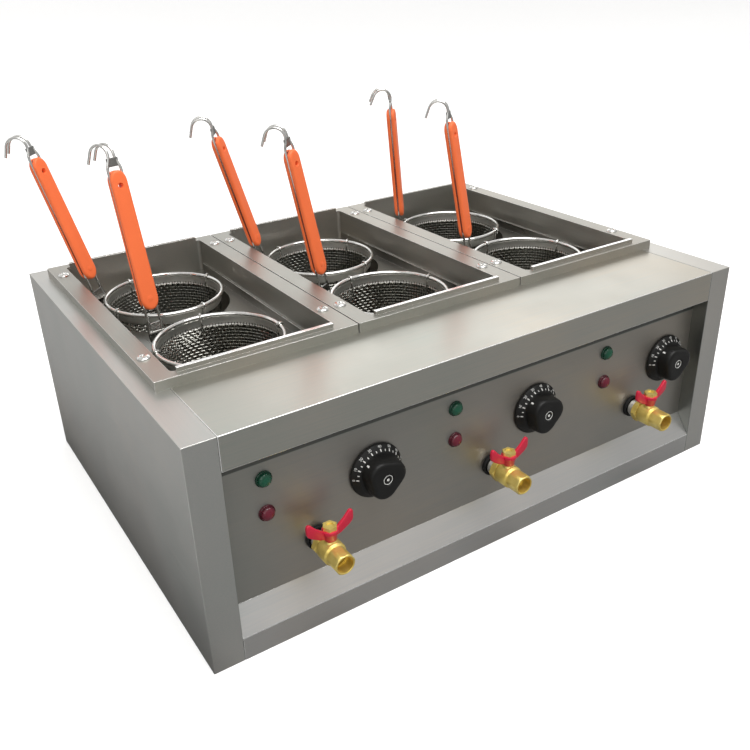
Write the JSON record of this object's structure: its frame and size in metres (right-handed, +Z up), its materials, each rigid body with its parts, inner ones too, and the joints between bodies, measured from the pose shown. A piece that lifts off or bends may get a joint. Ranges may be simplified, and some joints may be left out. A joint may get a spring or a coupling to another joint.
{
  "type": "pasta cooker",
  "caption": "Countertop electric pasta cooker: a low folded steel casing with boiling tanks side by side, lift-out wire baskets with upright grips, thermostat knobs and drain taps.",
  "frame": {"origin": "under the middle of the casing, on the surface that it stands on", "axes": "+X to the right seen from the controls, +Y to the back, +Z up"},
  "size_m": [0.7065, 0.569, 0.4419],
  "materials": {
    "casing_steel": "satin brushed stainless sheet",
    "panel_steel": "satin brushed stainless sheet",
    "tank_steel": "pressed and welded stainless sheet",
    "polished_steel": "polished stainless wire and bar",
    "mesh_steel": "woven stainless wire",
    "heater_steel": "oxidised steel tube",
    "instrument_metal": "plated housing",
    "black_plastic": "moulded black plastic",
    "green_lens": "clear tinted plastic",
    "red_lens": "clear tinted plastic",
    "brass": "forged brass",
    "red_paint": "gloss crimson paint",
    "rubber": "black rubber",
    "orange_plastic": "moulded orange-red plastic",
    "block_plastic": "moulded plastic"
  },
  "bodies": {
    "casing": {"left_side_panel": "casing_steel", "right_side_panel": "casing_steel", "front_deck": "casing_steel", "control_panel": "panel_steel", "front_sill": "casing_steel", "back_panel": "casing_steel", "base_pan": "casing_steel", "tank_rails": "casing_steel", "tank_screws": "polished_steel", "back_screws": "polished_steel", "left_tank": "tank_steel", "middle_tank": "tank_steel", "right_tank": "tank_steel", "left_basket_plate": "tank_steel", "middle_basket_plate": "tank_steel", "right_basket_plate": "tank_steel", "heating_elements": "heater_steel", "heater_guards": "tank_steel", "thermostats": "instrument_metal", "green_lenses": "green_lens", "red_lenses": "red_lens", "lamp_bodies": "black_plastic", "drain_pipes": "polished_steel", "tap_gaskets": "rubber", "left_tap_body": "brass", "middle_tap_body": "brass", "right_tap_body": "brass", "cable_gland": "black_plastic", "terminal_block": "block_plastic"},
    "left_knob_body": {"left_knob": "black_plastic", "left_thermostat_shaft": "polished_steel"},
    "left_tap_valve": {"left_tap_handle": "red_paint", "left_tap_stem": "brass"},
    "left_front_basket": {"left_front_cup": "mesh_steel", "left_front_frame": "polished_steel", "left_front_grip": "orange_plastic"},
    "left_back_basket": {"left_back_cup": "mesh_steel", "left_back_frame": "polished_steel", "left_back_grip": "orange_plastic"},
    "middle_knob_body": {"middle_knob": "black_plastic", "middle_thermostat_shaft": "polished_steel"},
    "middle_tap_valve": {"middle_tap_handle": "red_paint", "middle_tap_stem": "brass"},
    "middle_front_basket": {"middle_front_cup": "mesh_steel", "middle_front_frame": "polished_steel", "middle_front_grip": "orange_plastic"},
    "middle_back_basket": {"middle_back_cup": "mesh_steel", "middle_back_frame": "polished_steel", "middle_back_grip": "orange_plastic"},
    "right_knob_body": {"right_knob": "black_plastic", "right_thermostat_shaft": "polished_steel"},
    "right_tap_valve": {"right_tap_handle": "red_paint", "right_tap_stem": "brass"},
    "right_front_basket": {"right_front_cup": "mesh_steel", "right_front_frame": "polished_steel", "right_front_grip": "orange_plastic"},
    "right_back_basket": {"right_back_cup": "mesh_steel", "right_back_frame": "polished_steel", "right_back_grip": "orange_plastic"}
  },
  "joints": [
    {"name": "left_knob_turn", "type": "hinge", "parent": "casing", "child": "left_knob_body", "pos_m": [-0.1525, -0.239, 0.144], "axis": [0, 1, 0], "range_deg": [0, 270]},
    {"name": "middle_knob_turn", "type": "hinge", "parent": "casing", "child": "middle_knob_body", "pos_m": [0.06, -0.239, 0.144], "axis": [0, 1, 0], "range_deg": [0, 270]},
    {"name": "right_knob_turn", "type": "hinge", "parent": "casing", "child": "right_knob_body", "pos_m": [0.2725, -0.239, 0.144], "axis": [0, 1, 0], "range_deg": [0, 270]},
    {"name": "left_tap_turn", "type": "hinge", "parent": "casing", "child": "left_tap_valve", "pos_m": [-0.2225, -0.2665, 0.093], "axis": [0, 0, -1], "range_deg": [0, 90]},
    {"name": "middle_tap_turn", "type": "hinge", "parent": "casing", "child": "middle_tap_valve", "pos_m": [0, -0.2665, 0.093], "axis": [0, 0, -1], "range_deg": [0, 90]},
    {"name": "right_tap_turn", "type": "hinge", "parent": "casing", "child": "right_tap_valve", "pos_m": [0.2225, -0.2665, 0.093], "axis": [0, 0, -1], "range_deg": [0, 90]},
    {"name": "left_front_basket_lift", "type": "slide", "parent": "casing", "child": "left_front_basket", "axis": [0, 0, 1], "range_m": [0, 0.2]},
    {"name": "left_back_basket_lift", "type": "slide", "parent": "casing", "child": "left_back_basket", "axis": [0, 0, 1], "range_m": [0, 0.2]},
    {"name": "middle_front_basket_lift", "type": "slide", "parent": "casing", "child": "middle_front_basket", "axis": [0, 0, 1], "range_m": [0, 0.2]},
    {"name": "middle_back_basket_lift", "type": "slide", "parent": "casing", "child": "middle_back_basket", "axis": [0, 0, 1], "range_m": [0, 0.2]},
    {"name": "right_front_basket_lift", "type": "slide", "parent": "casing", "child": "right_front_basket", "axis": [0, 0, 1], "range_m": [0, 0.2]},
    {"name": "right_back_basket_lift", "type": "slide", "parent": "casing", "child": "right_back_basket", "axis": [0, 0, 1], "range_m": [0, 0.2]}
  ]
}
